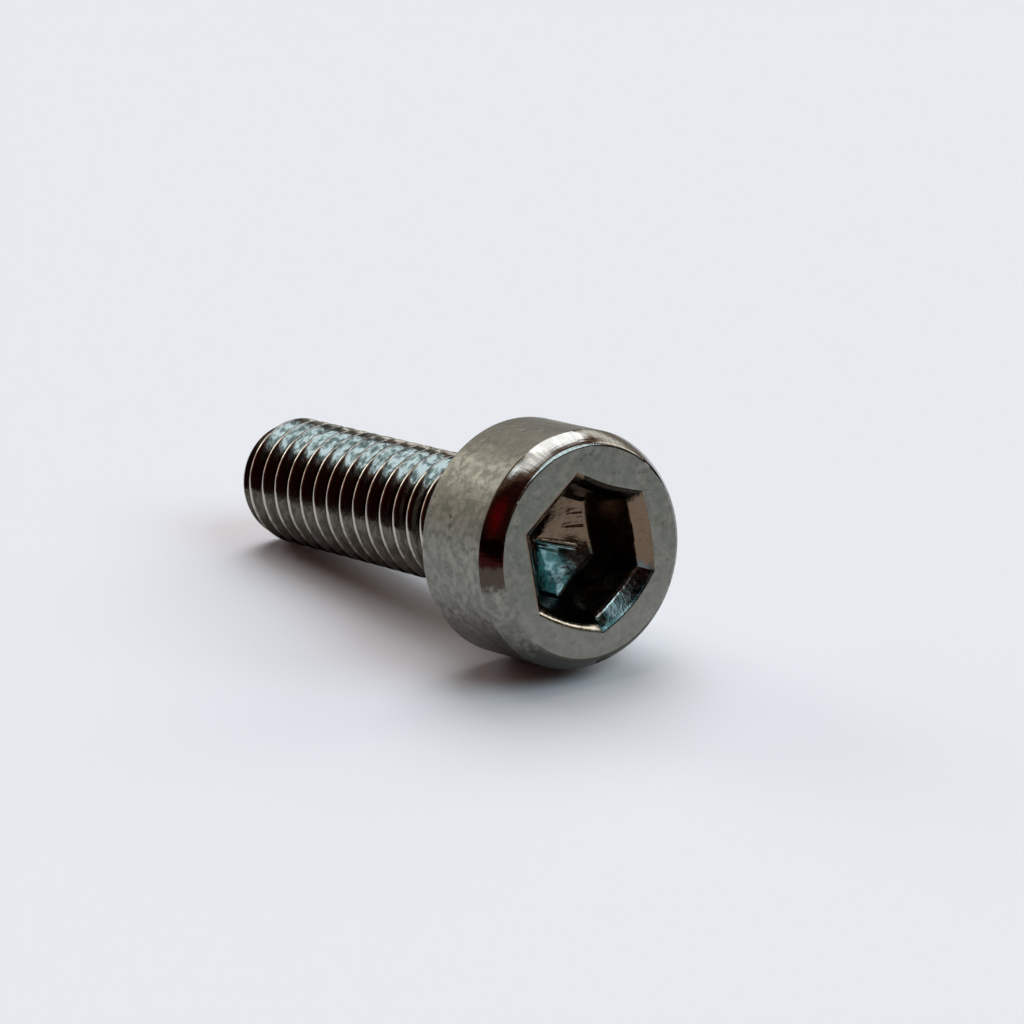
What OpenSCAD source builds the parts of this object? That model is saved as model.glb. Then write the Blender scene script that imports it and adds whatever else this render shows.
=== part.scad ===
// Hexagon socket head cap screw, M4 x 0.7, full thread, lying on its head rim and its tip.
// One solid. X runs along the screw towards its head, and the floor is at z = 0. Millimetres.

/* [Head] */
// diameter of the plain cylindrical head
head_d = 6.9; // [6.3:0.05:7.4]
// height of the head, from its bearing face to its top face
head_h = 3.45; // [3.1:0.05:4.2]
// how far the turned top edge reaches in from the side
edge_w = 0.35; // [0.15:0.05:0.5]
// how far the turned top edge reaches down from the top face
edge_h = 0.62; // [0.3:0.02:0.8]
// how far the turned top edge bows out from a straight bevel
edge_bow = 0.04; // [0.02:0.01:0.08]
// rounding of the rim round the bearing face
rim_r = 0.12; // [0.05:0.01:0.25]

/* [Socket] */
// key size, across the flats of the straight part of the socket
socket_af = 3; // [2.5:0.05:3.2]
// depth from the top face to the corners of the socket's floor
socket_depth = 2; // [1.5:0.05:2.2]
// slope of the socket's conical floor, in degrees
socket_floor_slope = 20; // [5:1:25]
// across the flats of the mouth, at the top face
mouth_af = 3.98; // [3.7:0.02:4.2]
// across the flats of the throat, where the mouth's bevel ends
throat_af = 3.52; // [3.3:0.02:3.6]
// depth of the mouth's bevel
mouth_depth = 0.33; // [0.1:0.01:0.5]
// depth at which the tapered throat meets the straight flats
throat_depth = 1.3; // [0.8:0.05:1.4]
// turn of the socket about the screw, in degrees
socket_turn = 5.7; // [0:0.1:60]

/* [Shank] */
// outer diameter of the thread, over its crests
thread_d = 3.84; // [3.6:0.02:4]
// length from the bearing face to the tip
shank_l = 12.1; // [8:0.1:20]
// how far the tip's chamfer reaches in from the thread's crests
tip_w = 0.25; // [0.1:0.01:0.4]
// length of the tip's chamfer along the screw
tip_h = 0.5; // [0.2:0.05:0.8]
// fillet between the shank and the bearing face
neck_r = 0.2; // [0.1:0.01:0.3]

/* [Thread] */
// rise of the right-hand thread in one turn
pitch = 0.7; // [0.6:0.05:0.8]
// plain length under the head, where the groove has run out
neck_l = 0.5; // [0.4:0.05:1.2]
// part of a turn over which the groove runs out
runout_turns = 0.75; // [0.5:0.05:1]
// angle at which the groove ends under the head, in degrees
thread_turn = 92; // [0:1:360]
// straight steps in one turn of the groove
thread_steps = 24; // [16:2:30]

/* [Hidden] */
$fn = 96;

// overlap of pieces that join, and how far a cutter reaches past the face it opens
eps = 0.01;
over = 0.1;
hex_sides = 6;
groove_sides = 4;
full_turn = 360;
// turn of the revolved blank that puts a flat of its mesh on the floor, not a corner
seam_turn = 1.5;

head_r = head_d / 2;
thread_r = thread_d / 2;
face_r = head_r - edge_w;

// the bowed top edge is an arc through its two borders
edge_chord = sqrt(edge_w * edge_w + edge_h * edge_h);
edge_arc_r = edge_chord * edge_chord / (8 * edge_bow) + edge_bow / 2;
edge_arc_in = edge_arc_r - edge_bow;
edge_mid = [head_r - edge_w / 2, head_h - edge_h / 2];
edge_centre = edge_mid - edge_arc_in * [edge_h, edge_w] / edge_chord;

// a hexagon's corner radius from its size across the flats
af_to_corner = 1 / sqrt(3);
socket_corner_r = socket_af * af_to_corner;
throat_corner_r = throat_af * af_to_corner;
mouth_corner_r = mouth_af * af_to_corner;
socket_point = socket_corner_r * tan(socket_floor_slope);

// 60 degree thread: crests an eighth of the pitch wide, and the usual depth for a screw
flank_angle = 30;
crest_part = 1 / 8;
thread_depth_part = 0.6134;
thread_depth = thread_depth_part * pitch;
groove_w = pitch * (1 - crest_part);
root_w = groove_w - 2 * thread_depth * tan(flank_angle);
// the cutter stands a little proud of the crests, with its flanks carried on
proud = 0.03;
cutter_w = groove_w + 2 * proud * tan(flank_angle);
cutter_lift = thread_depth + 2 * proud;

thread_end_z = -neck_l - cutter_w / 2;
thread_len = shank_l + pitch + thread_end_z;
groove_turns = thread_len / pitch;
groove_steps = ceil(groove_turns * thread_steps);
runout_steps = runout_turns * thread_steps;
step_angle = full_turn / thread_steps;

// the screw lies on the rim of its head and on the crest nearest its tip that reaches the floor
chamfer_z = tip_h - shank_l;
crest_w = pitch * crest_part;
crest_z = thread_end_z - pitch * thread_turn / full_turn - pitch / 2;
full_crests = floor((crest_z - chamfer_z) / pitch);
full_z = crest_z - full_crests * pitch - crest_w / 2;
cut_z = crest_z - (full_crests + 1) * pitch + crest_w / 2;
lie_angle = min(lie_on(full_z), lie_on(cut_z));

// radius over the crests at a height, which falls where the tip's chamfer cuts them
function crest_r(z) = thread_r - tip_w * max(0, chamfer_z - z) / tip_h;

// how far the screw tips down to rest on the crest at a height, in degrees
function lie_on(z) =
    let (
        run = rim_r - z,
        rise = head_r - rim_r - crest_r(z)
    )
    atan2(rise, run) + asin(rim_r / sqrt(run * run + rise * rise));

// lift to the floor, and shift that centres the screw's box on the origin
lift_z = (head_r - rim_r) * cos(lie_angle) - rim_r * sin(lie_angle) + rim_r;
reach_head = head_h * cos(lie_angle) + face_r * sin(lie_angle);
reach_tip = shank_l * cos(lie_angle) + (thread_r - tip_w) * sin(lie_angle);
shift_x = (reach_tip - reach_head) / 2;

cap_screw();

// the whole screw, laid on the floor
module cap_screw() {
    color([0.6, 0.6, 0.57])
        translate([shift_x, 0, lift_z])
            rotate([0, 90 - lie_angle, 0])
                screw_upright();
}

// the screw along z, with its bearing face at z = 0 and its head above
module screw_upright() {
    difference() {
        rotate([0, 0, seam_turn])
            rotate_extrude()
                blank_section();
        rotate([0, 0, socket_turn])
            socket();
        thread_groove();
    }
}

// half section of the forged and turned blank, before its thread and socket
module blank_section() {
    difference() {
        union() {
            head_section();
            shank_section();
            translate([0, -neck_r])
                square([thread_r + neck_r, neck_r + eps]);
        }
        translate([thread_r + neck_r, -neck_r])
            circle(neck_r);
    }
}

// the head's half section, with its bowed top edge and rounded rim
module head_section() {
    square([face_r, head_h]);
    intersection() {
        square([head_r, head_h]);
        translate(edge_centre)
            circle(edge_arc_r);
    }
    translate([0, rim_r])
        square([head_r, head_h - edge_h - rim_r]);
    square([head_r - rim_r, rim_r + eps]);
    translate([head_r - rim_r, rim_r])
        circle(rim_r);
}

// the shank's half section, with its chamfered tip
module shank_section() {
    polygon([
        [0, eps],
        [0, -shank_l],
        [thread_r - tip_w, -shank_l],
        [thread_r, tip_h - shank_l],
        [thread_r, eps]
    ]);
}

// the socket: straight flats with a conical floor, a tapered throat and a bevelled mouth
module socket() {
    intersection() {
        translate([0, 0, head_h - socket_depth - socket_point])
            cylinder(h = socket_depth + socket_point + over, r = socket_corner_r, $fn = hex_sides);
        rotate_extrude()
            polygon([
                [0, head_h - socket_depth - socket_point],
                [socket_corner_r + eps, head_h - socket_depth + eps * tan(socket_floor_slope)],
                [socket_corner_r + eps, head_h + over],
                [0, head_h + over]
            ]);
    }
    hex_taper(head_h - throat_depth, head_h - mouth_depth, socket_corner_r, throat_corner_r, 0);
    hex_taper(head_h - mouth_depth, head_h, throat_corner_r, mouth_corner_r, over);
}

// a tapered hexagon between two heights, carried on past the upper one
module hex_taper(z_low, z_high, r_low, r_high, past) {
    height = z_high - z_low;
    r_past = r_high + (r_high - r_low) * past / height;
    translate([0, 0, z_low])
        cylinder(h = height + past, r1 = r_low, r2 = r_past, $fn = hex_sides);
}

// how far the cutter has moved out at a step, from none to clear of the crests
function groove_lift(i) =
    cutter_lift * max(0, 1 - (groove_steps - i) / runout_steps);

// one section of the cutter, as radius and height, at a step
function groove_section(i) = [
    [thread_r + proud, -cutter_w / 2],
    [thread_r - thread_depth, -root_w / 2],
    [thread_r - thread_depth, root_w / 2],
    [thread_r + proud, cutter_w / 2]
];

// a point of the cutter: its section carried up and round the screw
function groove_point(i, p) =
    let (
        r = p[0] + groove_lift(i),
        a = thread_turn + (i - groove_steps) * step_angle,
        z = thread_end_z + (i - groove_steps) * pitch / thread_steps + p[1]
    )
    [r * cos(a), r * sin(a), z];

// the helical cutter of the thread's groove
module thread_groove() {
    points = [
        for (i = [0:groove_steps])
            for (p = groove_section(i))
                groove_point(i, p)
    ];
    sides = [
        for (i = [0:groove_steps - 1])
            for (j = [0:groove_sides - 1])
                let (
                    a = i * groove_sides + j,
                    b = i * groove_sides + (j + 1) % groove_sides
                )
                each [
                    [a, b + groove_sides, b],
                    [a, a + groove_sides, b + groove_sides]
                ]
    ];
    last = groove_steps * groove_sides;
    ends = [
        [for (j = [0:groove_sides - 1]) j],
        [for (j = [1:groove_sides]) last + groove_sides - j]
    ];
    polyhedron(points = points, faces = concat(sides, ends), convexity = 20);
}
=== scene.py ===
import math
import random

import bmesh
import bpy
from mathutils import Matrix, Vector, kdtree, noise


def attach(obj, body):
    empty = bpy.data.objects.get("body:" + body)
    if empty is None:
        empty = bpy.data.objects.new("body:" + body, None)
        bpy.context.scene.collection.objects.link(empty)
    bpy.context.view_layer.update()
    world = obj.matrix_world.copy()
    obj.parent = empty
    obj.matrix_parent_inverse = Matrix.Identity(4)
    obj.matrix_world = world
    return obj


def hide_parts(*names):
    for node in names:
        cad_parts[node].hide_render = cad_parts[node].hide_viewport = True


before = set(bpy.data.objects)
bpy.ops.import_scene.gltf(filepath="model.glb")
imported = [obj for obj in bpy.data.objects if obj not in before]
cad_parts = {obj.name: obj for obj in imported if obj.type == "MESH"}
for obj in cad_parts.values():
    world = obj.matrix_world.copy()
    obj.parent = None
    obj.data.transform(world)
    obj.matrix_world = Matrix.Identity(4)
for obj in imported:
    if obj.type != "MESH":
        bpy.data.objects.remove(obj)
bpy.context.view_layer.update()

# ---------------------------------------------------------------------------------------------
# The forged head: a plain cylinder of bare steel, tumbled to a soft, mottled matte finish.
# Its top edge is turned to a bright bowed bevel, and its lower rim is slightly rounded.
# Sizes are in millimetres, with the bearing face at z = 0 and the head above it.
HEAD_R = 3.45
HEAD_H = 3.45
EDGE_W = 0.35
EDGE_H = 0.62
EDGE_BOW = 0.04
EDGE_ROUND = 0.06
RIM_R = 0.12
NECK_R = 0.2
CREST_R = 1.92
# height of the joint between the neck under the head and the rolled thread
NECK_LOW = -0.42
# steps of the mesh: round the axis, up the side, over the turned edge, and on each small curve
ROUND_STEPS = 384
SIDE_STEPS = 44
EDGE_STEPS = 16
CURVE_STEPS = 6
# the four finishes, in the order of the mesh's materials
MATTE, BEVEL, THREAD, SOCKET = range(4)

# how the screw lies: tipped down to its thread's end, lifted to the floor and centred
LIE_ANGLE = math.radians(7.7054)
LIFT = 3.4038
SHIFT = 4.1901
MILLIMETRE = 0.001


def arc(centre, radius, start, end, steps):
    """Radius and height points of an arc, between two angles in degrees."""
    turns = [math.radians(start + (end - start) * i / steps) for i in range(steps + 1)]
    return [(centre[0] + radius * math.cos(a), centre[1] + radius * math.sin(a)) for a in turns]


def bowed_line(low, high, bow, steps):
    """Points from low to high on a shallow curve that bows outwards by the given amount."""
    run = Vector(high) - Vector(low)
    out = Vector((run.y, -run.x)).normalized()
    parts = [i / steps for i in range(steps + 1)]
    return [tuple(Vector(low) + run * t + out * bow * 4 * t * (1 - t)) for t in parts]


def spin_round(shape, points, steps, rise=0.0):
    """Spins a line of radius and height points one turn round the screw's axis."""
    line = [shape.verts.new((r, 0, z)) for r, z in points]
    edges = [shape.edges.new(pair) for pair in zip(line, line[1:])]
    bmesh.ops.spin(
        shape,
        geom=line + edges,
        cent=(0, 0, 0),
        axis=(0, 0, 1),
        dvec=(0, 0, rise / steps),
        angle=math.tau,
        steps=steps,
        use_merge=not rise,
    )


screw = bmesh.new()
face_r = HEAD_R - EDGE_W
side_top = HEAD_H - EDGE_H
neck = arc((CREST_R + NECK_R, -NECK_R), NECK_R, 180, 90, CURVE_STEPS)
rim = arc((HEAD_R - RIM_R, RIM_R), RIM_R, -90, 0, CURVE_STEPS)
side_step = (side_top - RIM_R) / SIDE_STEPS
side = [(HEAD_R, RIM_R + side_step * i) for i in range(1, SIDE_STEPS)]
edge = bowed_line((HEAD_R, side_top), (face_r, HEAD_H), EDGE_BOW, EDGE_STEPS)
# the last step, next to the face, is rounded over in three shorter ones
edge = edge[:-1] + [
    (face_r + EDGE_ROUND * 0.1, HEAD_H - EDGE_ROUND * 0.35),
    (face_r - EDGE_ROUND * 0.25, HEAD_H - EDGE_ROUND * 0.1),
    (face_r - EDGE_ROUND, HEAD_H),
]
spin_round(screw, [(CREST_R, NECK_LOW)] + neck + rim + side + edge, ROUND_STEPS)
for part in screw.faces:
    middle = part.calc_center_median()
    part.material_index = BEVEL if middle.z > side_top else MATTE


def steel(name, colour, rough):
    """A bare steel: its material, its shader, and a place in the screw's own millimetres."""
    made = bpy.data.materials.new(name)
    made.use_nodes = True
    nodes, links = made.node_tree.nodes, made.node_tree.links
    shader = nodes["Principled BSDF"]
    shader.inputs["Base Color"].default_value = (*colour, 1)
    shader.inputs["Metallic"].default_value = 1.0
    shader.inputs["Roughness"].default_value = rough
    upright = nodes.new("ShaderNodeMapping")
    upright.vector_type = "TEXTURE"
    upright.inputs["Location"].default_value = (SHIFT * MILLIMETRE, 0, LIFT * MILLIMETRE)
    upright.inputs["Rotation"].default_value = (0, math.pi / 2 - LIE_ANGLE, 0)
    upright.inputs["Scale"].default_value = (MILLIMETRE, MILLIMETRE, MILLIMETRE)
    where = nodes.new("ShaderNodeTexCoord")
    links.new(where.outputs["Object"], upright.inputs["Vector"])
    return made, shader, upright.outputs["Vector"]


def node(made, kind, inputs, **settings):
    """Adds a node, with its settings and with each input linked or set."""
    new = made.node_tree.nodes.new(kind)
    for name, value in settings.items():
        setattr(new, name, value)
    for name, value in inputs.items():
        if isinstance(value, bpy.types.NodeSocket):
            made.node_tree.links.new(value, new.inputs[name])
        else:
            new.inputs[name].default_value = value
    return new


def clouds(made, place, grain, detail=3.0, rough=0.6):
    """A cloudy pattern whose grain is this many millimetres across, from 0 to 1."""
    pattern = node(
        made,
        "ShaderNodeTexNoise",
        {"Vector": place, "Scale": 1 / grain, "Detail": detail, "Roughness": rough},
    )
    return pattern.outputs["Fac"]


def ramp(made, amount, start, end, low, high):
    """Takes an amount that runs from start to end to a value from low to high."""
    new = node(
        made,
        "ShaderNodeMapRange",
        {"Value": amount, "From Min": start, "From Max": end, "To Min": low, "To Max": high},
        interpolation_type="SMOOTHSTEP",
    )
    return new.outputs["Result"]


def blend(made, amount, first, second):
    """A colour between two others, each a colour or another node's output."""
    colours = [c if isinstance(c, bpy.types.NodeSocket) else (*c, 1) for c in (first, second)]
    new = made.node_tree.nodes.new("ShaderNodeMix")
    new.data_type = "RGBA"
    for socket, value in zip((new.inputs[0], new.inputs[6], new.inputs[7]), (amount, *colours)):
        if isinstance(value, bpy.types.NodeSocket):
            made.node_tree.links.new(value, socket)
        else:
            socket.default_value = value
    return new.outputs[2]


def round_place(made, place, around, along, across=1.0):
    """A place unrolled from the screw, as length round it, height and radius, each scaled."""
    split = node(made, "ShaderNodeSeparateXYZ", {"Vector": place})
    turn = node(
        made,
        "ShaderNodeMath",
        {0: split.outputs["Y"], 1: split.outputs["X"]},
        operation="ARCTAN2",
    )
    length = node(made, "ShaderNodeMath", {0: turn.outputs[0], 1: around}, operation="MULTIPLY")
    flat = node(made, "ShaderNodeVectorMath", {0: place, 1: (1, 1, 0)}, operation="MULTIPLY")
    radius = node(made, "ShaderNodeVectorMath", {0: flat.outputs[0]}, operation="LENGTH")
    height = node(
        made, "ShaderNodeMath", {0: split.outputs["Z"], 1: along}, operation="MULTIPLY"
    )
    reach = node(
        made, "ShaderNodeMath", {0: radius.outputs["Value"], 1: across}, operation="MULTIPLY"
    )
    unrolled = node(
        made,
        "ShaderNodeCombineXYZ",
        {"X": length.outputs[0], "Y": height.outputs[0], "Z": reach.outputs[0]},
    )
    return unrolled.outputs["Vector"], radius.outputs["Value"]


def finish_steel(made, shader, colour, rough, relief, depth):
    """Puts a colour, a roughness and a relief of this depth in millimetres on the steel."""
    bump = node(
        made,
        "ShaderNodeBump",
        {"Height": relief, "Distance": depth * MILLIMETRE, "Strength": 1.0},
    )
    made.node_tree.links.new(colour, shader.inputs["Base Color"])
    made.node_tree.links.new(rough, shader.inputs["Roughness"])
    made.node_tree.links.new(bump.outputs["Normal"], shader.inputs["Normal"])
    return made


def both_of(made, first, second):
    """One amount times another."""
    new = node(made, "ShaderNodeMath", {0: first, 1: second}, operation="MULTIPLY")
    return new.outputs[0]


def band_between(made, place, start, end, soft):
    """How much of a band lies here, between two turns in degrees, with ragged borders."""
    unrolled, _ = round_place(made, place, math.degrees(1), 1.0)
    turn = node(made, "ShaderNodeSeparateXYZ", {"Vector": unrolled}).outputs["X"]
    ragged = ramp(made, clouds(made, place, 0.2, 3.0), 0.2, 0.8, -soft, soft)
    turn = node(made, "ShaderNodeMath", {0: turn, 1: ragged}, operation="ADD").outputs[0]
    after = ramp(made, turn, start - soft, start + soft, 0, 1)
    before = ramp(made, turn, end - soft, end + soft, 1, 0)
    return both_of(made, after, before)


# the tumbled steel's colours, and those of the painted floor reflection on its face and the
# painted shade on its underside
MOTTLE_DARK = (0.15, 0.155, 0.128)
MOTTLE_LIGHT = (0.285, 0.278, 0.24)
PATCH_COLOUR = (0.185, 0.192, 0.165)
PIT_COLOUR = (0.09, 0.095, 0.08)
FACE_REFLECTION_COLOUR = (0.32, 0.31, 0.275)
UNDER_SHADE_COLOUR = (0.06, 0.052, 0.042)
# how far across the mottle, the patches, the pits and the grain are
MOTTLE_GRAIN = 0.24
PATCH_GRAIN = 0.9
PIT_GRAIN = 0.13
FINE_GRAIN = 0.05
# the painted shade on the underside: two turns in degrees from straight down, and how ragged it
# ends
UNDER_SHADE_PART = (-64, 62, 12)
HEAD_RELIEF = 0.008


def tumbled_steel():
    """The matte head: grey-green steel, mottled by tumbling, with small dark pits, a painted
    floor reflection lighter towards the floor side of its face, and painted shade on its
    underside.
    """
    made, shader, place = steel("tumbled_steel", (0.2, 0.2, 0.17), 0.4)
    mottle = clouds(made, place, MOTTLE_GRAIN, 2.0)
    patches = clouds(made, place, PATCH_GRAIN, 2.0)
    speck = clouds(made, place, PIT_GRAIN, 1.0)
    grain = clouds(made, place, FINE_GRAIN, 2.0)
    split = node(made, "ShaderNodeSeparateXYZ", {"Vector": place})
    down, height = split.outputs["X"], split.outputs["Z"]
    calm = ramp(made, height, side_top, HEAD_H, 0.8, 0.5)
    light = node(
        made,
        "ShaderNodeMath",
        {0: ramp(made, mottle, 0.33, 0.67, -0.5, 0.5), 1: calm, 2: 0.5},
        operation="MULTIPLY_ADD",
    )
    colour = blend(made, light.outputs[0], MOTTLE_DARK, MOTTLE_LIGHT)
    colour = blend(made, ramp(made, patches, 0.4, 0.6, 0, 0.45), colour, PATCH_COLOUR)
    colour = blend(made, ramp(made, speck, 0.66, 0.74, 0, 0.55), colour, PIT_COLOUR)
    # painted floor reflection: the face is lighter towards the floor side
    painted_bright = ramp(made, height, HEAD_H - 0.1, HEAD_H, 0, 1)
    painted_bright = both_of(made, painted_bright, ramp(made, down, -0.5, 3, 0, 0.45))
    colour = blend(made, painted_bright, colour, FACE_REFLECTION_COLOUR)
    # painted shade on the underside, fading out towards the face
    under_shade = band_between(made, place, *UNDER_SHADE_PART)
    under_shade = both_of(made, under_shade, ramp(made, height, side_top, HEAD_H - 0.1, 0.75, 0))
    colour = blend(made, under_shade, colour, UNDER_SHADE_COLOUR)
    rough = ramp(made, mottle, 0.35, 0.65, 0.44, 0.36)
    relief = node(made, "ShaderNodeMath", {0: mottle, 1: grain}, operation="ADD").outputs[0]
    return finish_steel(made, shader, colour, rough, relief, HEAD_RELIEF)


# the turned edge's colours where it is bright, and where it was left as dull as the head
EDGE_DARK = (0.2, 0.2, 0.188)
EDGE_LIGHT = (0.28, 0.277, 0.26)
DULL_DARK = (0.17, 0.172, 0.145)
DULL_LIGHT = (0.27, 0.265, 0.23)
DULL_PART = (-84, 62, 4)
# painted shade and painted reflections on the edge: painted shade on its lower part, a painted
# brown reflection and a painted dark red reflection: the colour of each, and where it lies
EDGE_SHADE_AND_REFLECTIONS = (
    # painted shade on the lower part
    ((0.1, 0.095, 0.08), (-42, 40, 10)),
    # painted brown reflection
    ((0.07, 0.055, 0.042), (-108, -82, 3)),
    # painted dark red reflection
    ((0.03, 0.006, 0.005), (-107, -93, 2.5)),
)
# a nick cut into the edge near the floor: its middle, and where the painted shade in it is full
# and ends
NICK_AT = (3.27, 0.29, 3.25)
NICK_FULL = 0.16
NICK_END = 0.3
NICK_SHADE_COLOUR = (0.012, 0.01, 0.008)
# the marks across the edge and the lines round it: how far each pattern is stretched round
# the axis, along it and out from it, and how far across its grain is
MARKS_STRETCH, MARKS_GRAIN = (3.3, 0.12, 0.12), 0.1
LINES_STRETCH, LINES_GRAIN = (0.12, 6.0, 6.0), 0.3
EDGE_RELIEF = 0.004


def turned_edge():
    """The turned bevel: bright steel with fine lines round it and short marks across it.

    A painted dark red and brown reflection lies on one short stretch, and painted shade on its
    lower part; the part that the tool missed, near the floor, is as dull as the head.
    """
    made, shader, place = steel("turned_edge", (0.26, 0.255, 0.24), 0.1)
    across, _ = round_place(made, place, *MARKS_STRETCH)
    chatter = clouds(made, across, MARKS_GRAIN, 2.0)
    around, _ = round_place(made, place, *LINES_STRETCH)
    lines = clouds(made, around, LINES_GRAIN, 2.0)
    colour = blend(made, ramp(made, chatter, 0.42, 0.6, 0, 1), EDGE_DARK, EDGE_LIGHT)
    dull = band_between(made, place, *DULL_PART)
    mottle = ramp(made, clouds(made, place, MOTTLE_GRAIN, 2.0), 0.33, 0.67, 0, 1)
    colour = blend(made, dull, colour, blend(made, mottle, DULL_DARK, DULL_LIGHT))
    # lays the painted shade and the painted reflections on the edge
    for tint, stretch in EDGE_SHADE_AND_REFLECTIONS:
        colour = blend(made, band_between(made, place, *stretch), colour, tint)
    # painted shade in the nick, darkest at its middle
    nick = node(made, "ShaderNodeVectorMath", {0: place, 1: NICK_AT}, operation="DISTANCE")
    nick_shade = ramp(made, nick.outputs["Value"], NICK_FULL, NICK_END, 1, 0)
    colour = blend(made, nick_shade, colour, NICK_SHADE_COLOUR)
    rough = ramp(made, lines, 0.35, 0.65, 0.07, 0.15)
    rough = ramp(made, dull, 0, 1, rough, 0.38)
    relief = node(made, "ShaderNodeMath", {0: chatter, 1: lines}, operation="ADD").outputs[0]
    return finish_steel(made, shader, colour, rough, relief, EDGE_RELIEF)


# ---------------------------------------------------------------------------------------------
# The socket: a hexagon pressed into the head's flat top face by a punch.
# Its mouth is bevelled and uneven where the metal flowed, and its floor is a rough shallow cone.
SOCKET_TURN = 5.7
SIDES = 6
MOUTH_AF = 3.98
THROAT_AF = 3.52
KEY_AF = 3.0
MOUTH_DEPTH = 0.33
THROAT_DEPTH = 1.3
SOCKET_DEPTH = 2.0
FLOOR_SLOPE = math.tan(math.radians(20))
KEY_CORNER_R = KEY_AF / math.sqrt(3)
# rings of the mesh across the face and across the socket's floor
FACE_STEPS = 14
FLOOR_RINGS = 30
# how far the metal round the mouth flowed out on each side, from corner to corner
MOUTH_BOW = (0.16, 0.08, -0.11, 0, 0, 0.10)
# rounding of the mouth's edge, as extra distance out and depth
MOUTH_ROUND = ((0.12, 0.0), (0.075, 0.012), (0.03, 0.04), (-0.02, 0.085))
# how far the throat follows the mouth out on each side
THROAT_BOW = (0.04, 0.02, -0.06, 0, 0, 0.2)
# rounding between the bevel and the throat, as size across the flats and depth
THROAT_ROUND = (
    (THROAT_AF + 0.02, MOUTH_DEPTH - 0.02),
    (THROAT_AF - 0.04, MOUTH_DEPTH + 0.06),
)
# fillet round the floor, as distance in and height above the floor's edge
FLOOR_FILLET = ((0.0, 0.15), (0.02, 0.07), (0.065, 0.02), (0.13, 0.0))
# tool marks on the floor: two ends, half width and height of each
FLOOR_MARKS = (
    ((0.02, -0.05), (0.38, 1.05), 0.06, 0.024),
    ((0.24, 0.02), (0.42, 0.5), 0.05, 0.014),
    ((-0.62, 1.0), (-0.6, 1.42), 0.09, -0.018),
    ((-0.24, 0.85), (-0.2, 1.42), 0.08, -0.016),
)
# unevenness of the floor: its height, and how many waves it has in a millimetre
FLOOR_UNEVEN = 0.02
FLOOR_WAVES = 2.2


def hexagon_r(across, turn):
    """Distance from the axis to a hexagon's side, at an angle from one of its corners."""
    sixth = math.tau / SIDES
    return across / 2 / math.cos(turn % sixth - sixth / 2)


def bowed_r(across, bows, turn):
    """Distance from the axis to a hexagon's side when each side bows out by its own amount."""
    side_number, part = divmod(turn % math.tau / math.tau * SIDES, 1)
    return hexagon_r(across, turn) + bows[int(side_number) % SIDES] * 4 * part * (1 - part)


def floor_z(radius):
    """Height of the socket's conical floor at a distance from the axis."""
    return HEAD_H - SOCKET_DEPTH - (KEY_CORNER_R - radius) * FLOOR_SLOPE


def extrude_ring(shape, ring, place, material):
    """Extrudes a ring of edges inwards, and moves each new point to place(turn)."""
    made = bmesh.ops.extrude_edge_only(shape, edges=ring)["geom"]
    moved = {g for g in made if isinstance(g, bmesh.types.BMVert)}
    for vert in moved:
        turn = math.atan2(vert.co.y, vert.co.x)
        radius, height = place(turn)
        vert.co = (radius * math.cos(turn), radius * math.sin(turn), height)
    for part in (g for g in made if isinstance(g, bmesh.types.BMFace)):
        part.material_index = material
    return [
        g for g in made if isinstance(g, bmesh.types.BMEdge) and set(g.verts) <= moved
    ]


ring = [e for e in screw.edges if e.is_boundary and e.verts[0].co.z > side_top]
for i in range(1, FACE_STEPS + 1):
    share = i / FACE_STEPS
    first = lambda t: bowed_r(MOUTH_AF, MOUTH_BOW, t) + MOUTH_ROUND[0][0]
    lip = lambda t: edge[-1][0] + (first(t) - edge[-1][0]) * share
    ring = extrude_ring(screw, ring, lambda t: (lip(t), HEAD_H), MATTE)
for out, depth in MOUTH_ROUND[1:]:
    lip = lambda t: bowed_r(MOUTH_AF, MOUTH_BOW, t) + out
    ring = extrude_ring(screw, ring, lambda t: (lip(t), HEAD_H - depth), SOCKET)
for across, depth in THROAT_ROUND:
    lip = lambda t: bowed_r(across, THROAT_BOW, t)
    ring = extrude_ring(screw, ring, lambda t: (lip(t), HEAD_H - depth), SOCKET)
key = lambda t: (hexagon_r(KEY_AF, t), HEAD_H - THROAT_DEPTH)
ring = extrude_ring(screw, ring, key, SOCKET)
for inwards, above in FLOOR_FILLET:
    reach = lambda t: hexagon_r(KEY_AF - 2 * inwards, t)
    ring = extrude_ring(screw, ring, lambda t: (reach(t), floor_z(reach(t)) + above), SOCKET)
floor_verts = set()
floor_af = KEY_AF - 2 * FLOOR_FILLET[-1][0]
for i in range(FLOOR_RINGS):
    shrink = 1 - i / FLOOR_RINGS
    reach = lambda t: hexagon_r(floor_af, t) * shrink
    ring = extrude_ring(screw, ring, lambda t: (reach(t), floor_z(reach(t))), SOCKET)
    floor_verts |= {vert for e in ring for vert in e.verts}
middle = list(dict.fromkeys(vert for e in ring for vert in e.verts))
bmesh.ops.pointmerge(screw, verts=middle, merge_co=(0, 0, floor_z(0)))
bmesh.ops.rotate(
    screw,
    verts=screw.verts,
    cent=(0, 0, 0),
    matrix=Matrix.Rotation(math.radians(SOCKET_TURN), 3, "Z"),
)


def mark_height(place, start, end, width, height):
    """Height of a tool mark, a step raised on its left and sunk on its right, at a place."""
    start, end = Vector(start), Vector(end)
    run = end - start
    part = min(1, max(0, (place - start).dot(run) / run.length_squared))
    away = place - start - run * part
    side = math.copysign(away.length / width, run.cross(away))
    return height * 2 * side * math.exp(-side * side)


for vert in (v for v in floor_verts if v.is_valid):
    vert.co.z += sum(mark_height(vert.co.xy, *mark) for mark in FLOOR_MARKS)
    vert.co.z += FLOOR_UNEVEN * noise.noise(vert.co * FLOOR_WAVES)


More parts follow.
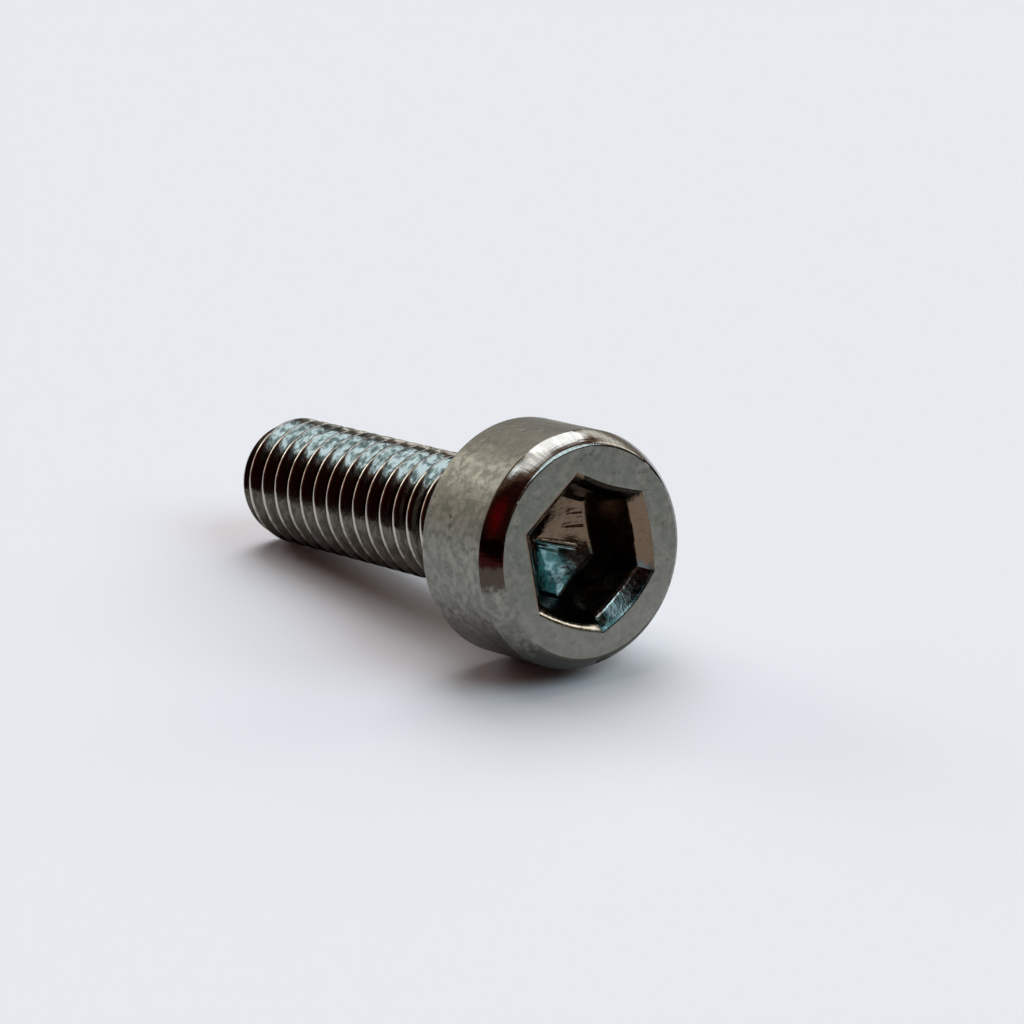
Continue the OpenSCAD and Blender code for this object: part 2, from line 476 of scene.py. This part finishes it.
# the pressed steel's colours, bare, rubbed, and the painted teal reflection with its darker end
PRESSED_COLOUR = (0.165, 0.115, 0.078)
SMUDGE_COLOUR = (0.09, 0.07, 0.055)
TEAL_REFLECTION_DARK = (0.03, 0.06, 0.06)
TEAL_REFLECTION_LIGHT = (0.12, 0.16, 0.165)
TEAL_REFLECTION_DEEP = (0.008, 0.03, 0.03)
TEAL_REFLECTION_PART = (-25, 68, 6)
DEEP_REFLECTION_PART = (-25, 10, 8)
# the painted shade on the upper bevel, the painted highlight on the lower lip and the painted
# highlight on the step below the bevel: where each lies round the socket, and its colour
UPPER_SHADE_PART, UPPER_SHADE_COLOUR = (124, 192, 2), (0.02, 0.015, 0.01)
LIP_HIGHLIGHT_PART, LIP_HIGHLIGHT_COLOUR = (-56, 3, 2), (0.4, 0.39, 0.35)
STEP_HIGHLIGHT_PART, STEP_HIGHLIGHT_COLOUR = (8, 64, 2), (0.5, 0.54, 0.54)
SOCKET_RELIEF = 0.008


def pressed_socket():
    """The pressed socket: smooth warm steel, with a painted teal reflection in its lower part,
    painted shade on its upper bevel, and painted highlights on its lower lip and step.
    """
    made, shader, place = steel("pressed_socket", PRESSED_COLOUR, 0.16)
    streak = ramp(made, clouds(made, place, 0.45, 1.0), 0.42, 0.6, 0, 1)
    # painted teal reflection in the lower part, with a darker end
    teal_reflection = blend(made, streak, TEAL_REFLECTION_DARK, TEAL_REFLECTION_LIGHT)
    teal_reflection = blend(made, band_between(made, place, *DEEP_REFLECTION_PART), teal_reflection, TEAL_REFLECTION_DEEP)
    rub = clouds(made, place, 0.12, 3.0)
    colour = blend(made, band_between(made, place, *TEAL_REFLECTION_PART), PRESSED_COLOUR, teal_reflection)
    height = node(made, "ShaderNodeSeparateXYZ", {"Vector": place}).outputs["Z"]
    # painted shade on the upper bevel
    upper_shade = ramp(made, height, HEAD_H - 0.4, HEAD_H - 0.3, 0, 1)
    upper_shade = both_of(made, upper_shade, band_between(made, place, *UPPER_SHADE_PART))
    colour = blend(made, upper_shade, colour, UPPER_SHADE_COLOUR)
    # painted highlight on the lower lip
    lip_highlight = ramp(made, height, HEAD_H - 0.19, HEAD_H - 0.14, 0, 1)
    lip_highlight = both_of(made, lip_highlight, band_between(made, place, *LIP_HIGHLIGHT_PART))
    colour = blend(made, lip_highlight, colour, LIP_HIGHLIGHT_COLOUR)
    # painted highlight on the step below the bevel
    step_highlight = ramp(made, height, HEAD_H - 0.48, HEAD_H - 0.42, 0, 1)
    step_highlight = both_of(made, step_highlight, ramp(made, height, HEAD_H - 0.31, HEAD_H - 0.27, 1, 0))
    step_highlight = both_of(made, step_highlight, band_between(made, place, *STEP_HIGHLIGHT_PART))
    colour = blend(made, step_highlight, colour, STEP_HIGHLIGHT_COLOUR)
    colour = blend(made, ramp(made, rub, 0.56, 0.7, 0, 0.4), colour, SMUDGE_COLOUR)
    rough = ramp(made, rub, 0.35, 0.65, 0.12, 0.24)
    return finish_steel(made, shader, colour, rough, rub, SOCKET_RELIEF)


# ---------------------------------------------------------------------------------------------
# Dents and pits in the soft head, from the hopper and the tumbling drum.
# The deep ones are placed one by one; the rest are shallow and strewn at random.
# Each is its turn in degrees, height, radius from the axis, size and depth.
DEEP_DENTS = (
    (287.5, 0.85, HEAD_R, 0.1, 0.05),
    (246.5, 1.28, HEAD_R, 0.1, 0.04),
    (250.5, 1.35, HEAD_R, 0.12, 0.04),
    (255.5, 1.42, HEAD_R, 0.09, 0.04),
    # two side by side make the nick in the turned edge
    (3.0, HEAD_H - 0.18, 3.3, 0.2, 0.18),
    (7.0, HEAD_H - 0.24, 3.32, 0.2, 0.18),
    (136.0, HEAD_H, 2.81, 0.08, 0.03),
    (4.6, HEAD_H, 2.52, 0.08, 0.02),
)
SHALLOW_DENTS = 130
# how many of them lie on the side, their sizes, and how deep they are for their size
SIDE_SHARE = 0.7
DENT_SIZES = (0.06, 0.16)
DENT_DEPTH = 0.1
# where they may lie: heights on the side, and distances from the axis on the face
SIDE_BAND = (0.2, side_top - 0.1)
FACE_BAND = (2.45, 3.0)
# the mesh further in than this is left alone
DENTED_FROM = 2.1

dice = random.Random(41)
dents = list(DEEP_DENTS)
for _ in range(SHALLOW_DENTS):
    turn, size = dice.uniform(0, 360), dice.uniform(*DENT_SIZES)
    if dice.random() < SIDE_SHARE:
        dents.append((turn, dice.uniform(*SIDE_BAND), HEAD_R, size, size * DENT_DEPTH))
    else:
        dents.append((turn, HEAD_H, dice.uniform(*FACE_BAND), size, size * DENT_DEPTH))
head_verts = [v for v in screw.verts if v.co.z > 0 and v.co.xy.length > DENTED_FROM]
finder = kdtree.KDTree(len(head_verts))
for number, vert in enumerate(head_verts):
    finder.insert(vert.co, number)
finder.balance()
for turn, height, radius, size, depth in dents:
    turn = math.radians(turn)
    centre = Vector((radius * math.cos(turn), radius * math.sin(turn), height))
    inwards = Vector((0, 0, -1)) if height == HEAD_H else Vector((-centre.x, -centre.y, 0))
    inwards.normalize()
    for place, number, away in finder.find_range(centre, size):
        vert = head_verts[number]
        vert.co += inwards * depth * (1 - (away / size) ** 2) ** 2

# ---------------------------------------------------------------------------------------------
# The thread: rolled into the shank between two dies, so its flanks are bright and smooth.
# It is right-hand, M4 x 0.7, with narrow flat crests, and it fades out just under the head.
PITCH = 0.7
SHANK_L = 12.1
TIP_W = 0.25
TIP_H = 0.5
THREAD_DEPTH = 0.4294
CREST_W = PITCH / 8
ROOT_W = 0.1167
ROOT_ROUND = 0.02
# rounding of the crests' corners, as depth and distance along the crest
CREST_ROUND = ((0.02, -0.012), (0.004, 0.006), (0.0, 0.02))
# middle of the last full crest before the tip's chamfer, straight below the axis
CREST_Z = -11.1525
# heights between which the thread fades out under the head
FADE = (-1.25, -0.55)
THREAD_STEPS = 192
# ripple of the rolled flanks: its depth and its size
RIPPLE = 0.007
RIPPLE_SIZE = 0.35

head_parts = set(screw.verts) | set(screw.edges) | set(screw.faces)
root_r = CREST_R - THREAD_DEPTH
groove_w = PITCH - CREST_W
start_z = CREST_Z - PITCH / 2 - 2 * PITCH
# half a groove, from its root up one flank to the flat of the crest, then its mirror image
thread_line = [
    (root_r, 0),
    (root_r, ROOT_W * 0.3),
    (root_r + ROOT_ROUND, ROOT_W * 0.55),
    (root_r + THREAD_DEPTH / 3, (2 * ROOT_W + groove_w) / 6),
    (root_r + THREAD_DEPTH * 2 / 3, (ROOT_W + 2 * groove_w) / 6),
]
thread_line += [(CREST_R - below, groove_w / 2 + along) for below, along in CREST_ROUND]
thread_line += [(r, PITCH - z) for r, z in reversed(thread_line)]
spin_round(screw, [(r, start_z + z) for r, z in thread_line], THREAD_STEPS, PITCH)
one_turn = [g for g in [*screw.verts, *screw.edges, *screw.faces] if g not in head_parts]
turns = math.ceil((NECK_LOW - start_z) / PITCH) + 1
for i in range(1, turns):
    copied = bmesh.ops.duplicate(screw, geom=one_turn)["geom"]
    verts = [g for g in copied if isinstance(g, bmesh.types.BMVert)]
    bmesh.ops.translate(screw, verts=verts, vec=(0, 0, PITCH * i))
thread_verts = [v for v in screw.verts if v not in head_parts]
bmesh.ops.remove_doubles(screw, verts=thread_verts, dist=1e-4)
for vert in (v for v in screw.verts if v not in head_parts):
    radius = vert.co.xy.length
    fade = min(1, max(0, (vert.co.z - FADE[0]) / (FADE[1] - FADE[0])))
    new_r = radius + (CREST_R - radius) * fade * fade * (3 - 2 * fade)
    new_r -= RIPPLE * (1 - fade) * (0.5 + 0.5 * noise.noise(vert.co / RIPPLE_SIZE))
    chamfer = CREST_R - TIP_W * (TIP_H - SHANK_L - vert.co.z) / TIP_H
    vert.co.xy *= min(new_r, chamfer) / radius
for height, side_kept in ((NECK_LOW, 1), (-SHANK_L, -1)):
    parts = [g for g in [*screw.verts, *screw.edges, *screw.faces] if g not in head_parts]
    bmesh.ops.bisect_plane(
        screw,
        geom=parts,
        dist=1e-5,
        plane_co=(0, 0, height),
        plane_no=(0, 0, side_kept),
        clear_outer=True,
    )
ends = [e for e in screw.edges if e.is_boundary]
joint = [e for e in ends if e.verts[0].co.z > -SHANK_L / 2]
bmesh.ops.bridge_loops(screw, edges=joint)
tip = [e for e in ends if e.verts[0].co.z < -SHANK_L / 2]
bmesh.ops.holes_fill(screw, edges=tip)
for part in screw.faces:
    if part not in head_parts:
        part.material_index = THREAD


# the thread's colours: its flanks, the painted shade on their lower part and the deeper painted
# shade on the underside, the roots' painted shade, and the crests' painted highlight
FLANK_DARK = (0.055, 0.062, 0.057)
FLANK_LIGHT = (0.235, 0.235, 0.225)
LOWER_SHADE_PART, LOWER_SHADE_COLOUR = (-128, 60, 6), (0.085, 0.07, 0.052)
SHADED_PART, SHADED_COLOUR = (-36, 60, 8), (0.02, 0.015, 0.012)
ROOT_SHADE_COLOUR = (0.05, 0.04, 0.03)
CREST_HIGHLIGHT_PART, CREST_HIGHLIGHT_COLOUR = (-150, -62, 16), (0.44, 0.41, 0.365)
THREAD_RELIEF = 0.007


def rolled_thread():
    """The rolled thread: smooth flanks, with painted highlights on the crests along one side,
    and painted shade on the lower side, the underside and the roots.
    """
    made, shader, place = steel("rolled_thread", (0.15, 0.145, 0.135), 0.14)
    unrolled, radius = round_place(made, place, 0.8, 1.0)
    wear = clouds(made, unrolled, 0.14, 2.0)
    tick = ramp(made, wear, 0.36, 0.6, 0, 1)
    colour = blend(made, tick, FLANK_DARK, FLANK_LIGHT)
    # painted shade on the lower side
    lower_shade = ramp(made, band_between(made, place, *LOWER_SHADE_PART), 0, 1, 0, 0.75)
    colour = blend(made, lower_shade, colour, LOWER_SHADE_COLOUR)
    # deeper painted shade on the underside
    colour = blend(made, band_between(made, place, *SHADED_PART), colour, SHADED_COLOUR)
    # painted shade in the roots
    colour = blend(made, ramp(made, radius, 1.5, 1.7, 0, 1), ROOT_SHADE_COLOUR, colour)
    # painted highlight on the crests along one side
    painted_bright = band_between(made, place, *CREST_HIGHLIGHT_PART)
    crest_highlight = both_of(made, ramp(made, radius, 1.885, 1.9, 0, 1), painted_bright)
    colour = blend(made, crest_highlight, colour, CREST_HIGHLIGHT_COLOUR)
    rough = ramp(made, wear, 0.35, 0.65, 0.2, 0.1)
    return finish_steel(made, shader, colour, rough, wear, THREAD_RELIEF)


# ---------------------------------------------------------------------------------------------
# The finished screw, laid on the floor as it comes to rest.
# Its four finishes share one piece of steel: tumbled head, turned edge, thread and socket.
SHARP_TURN = 28  # degrees between two faces, past which their edge is drawn sharp
lay = (
    Matrix.Scale(MILLIMETRE, 4)
    @ Matrix.Translation((SHIFT, 0, LIFT))
    @ Matrix.Rotation(math.pi / 2 - LIE_ANGLE, 4, "Y")
)
bmesh.ops.transform(screw, matrix=lay, verts=screw.verts)
bmesh.ops.recalc_face_normals(screw, faces=screw.faces)
for part in screw.faces:
    part.smooth = True
for e in screw.edges:
    e.smooth = e.calc_face_angle(0) < math.radians(SHARP_TURN)
mesh = bpy.data.meshes.new("cap_screw_steel")
screw.to_mesh(mesh)
screw.free()
cap_screw = bpy.data.objects.new("cap_screw_steel", mesh)
bpy.context.collection.objects.link(cap_screw)
for finish in (tumbled_steel, turned_edge, rolled_thread, pressed_socket):
    mesh.materials.append(finish())
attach(cap_screw, "root")
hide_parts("cap_screw")

# ---------------------------------------------------------------------------------------------
# The plain pale floor that the screw lies on.
# It is a sheet of matte paper, far wider than the screw, and it keeps the screw's shadow.
FLOOR_COLOUR = (0.76, 0.776, 0.828)
FLOOR_SIZE = 2.0
floor_mesh = bpy.data.meshes.new("floor")
floor_shape = bmesh.new()
bmesh.ops.create_grid(floor_shape, x_segments=1, y_segments=1, size=FLOOR_SIZE)
floor_shape.to_mesh(floor_mesh)
floor_shape.free()
floor = bpy.data.objects.new("floor", floor_mesh)
bpy.context.collection.objects.link(floor)
floor_mat = bpy.data.materials.new("floor_paper")
floor_mat.use_nodes = True
paper = floor_mat.node_tree.nodes["Principled BSDF"]
paper.inputs["Base Color"].default_value = (*FLOOR_COLOUR, 1)
paper.inputs["Roughness"].default_value = 0.9
paper.inputs["Specular IOR Level"].default_value = 0.2
floor_mesh.materials.append(floor_mat)

# ---------------------------------------------------------------------------------------------
# Soft studio light: a dim warm room with soft boxes behind and above the screw, and a dark
# red-brown side where the camera stands. Each soft box is its azimuth and elevation, the
# angles from its middle where it is full and where it ends, and its colour.
HORIZON = (0.02, 0.012, 0.006)
WALL = (0.21, 0.115, 0.065)
# heights of a direction between which the horizon turns to wall
WALL_AT = (0.05, 0.6)
SOFT_BOXES = (
    (-170, 80, 8, 18, (2.5, 2.5, 2.45)),
    (119, 24, 9, 16, (1.7, 1.62, 1.48)),
    (143, 54, 18, 23, (4.15, 4.15, 4.2)),
    (30, 44, 19, 25, (2.15, 2.7, 2.9)),
    (-170, 26, 8, 15, (3.45, 3.35, 3.1)),
    (-151, 12, 6, 14, (1.25, 1.15, 1.0)),
    (-142, 63, 4, 8, (3.0, 3.2, 3.3)),
    (87, 29, 11, 17, (2.4, 2.25, 2.0)),
    (122, 6, 12, 18, (0.35, 0.3, 0.26)),
    (-66, 10, 58, 61, (0.035, 0.006, 0.004)),
    (-90, 34, 9, 18, (0.15, 0.004, 0.004)),
)

world = bpy.data.worlds.new("studio")
bpy.context.scene.world = world
world.use_nodes = True
around = node(world, "ShaderNodeTexCoord", {}).outputs["Generated"]
upwards = node(world, "ShaderNodeSeparateXYZ", {"Vector": around}).outputs["Z"]
room = blend(world, ramp(world, upwards, *WALL_AT, 0, 1), HORIZON, WALL)
for azimuth, elevation, full, end, colour in SOFT_BOXES:
    a, e = math.radians(azimuth), math.radians(elevation)
    way = (math.cos(a) * math.cos(e), math.sin(a) * math.cos(e), math.sin(e))
    near = node(world, "ShaderNodeVectorMath", {0: around, 1: way}, operation="DOT_PRODUCT")
    full_at, end_at = math.cos(math.radians(full)), math.cos(math.radians(end))
    share = ramp(world, near.outputs["Value"], end_at, full_at, 0, 1)
    room = blend(world, share, room, colour)
world.node_tree.links.new(room, world.node_tree.nodes["Background"].inputs["Color"])

# ---------------------------------------------------------------------------------------------
# The camera, in front of the head and a little above the screw.
# Its lens is long, so that the small screw is seen with little distortion.
CAMERA_AT = Vector((110.985, -78.429, 51.448)) * MILLIMETRE
CAMERA_WAY = Vector((-0.75986, 0.55623, -0.33647))
camera_data = bpy.data.cameras.new("camera")
camera_data.lens = 171.77
camera_data.sensor_width = 36
camera_data.clip_start = 0.005
camera = bpy.data.objects.new("camera", camera_data)
bpy.context.collection.objects.link(camera)
camera.location = CAMERA_AT
camera.rotation_euler = CAMERA_WAY.to_track_quat("-Z", "Y").to_euler()
bpy.context.scene.camera = camera
bpy.context.scene.view_settings.view_transform = "Standard"
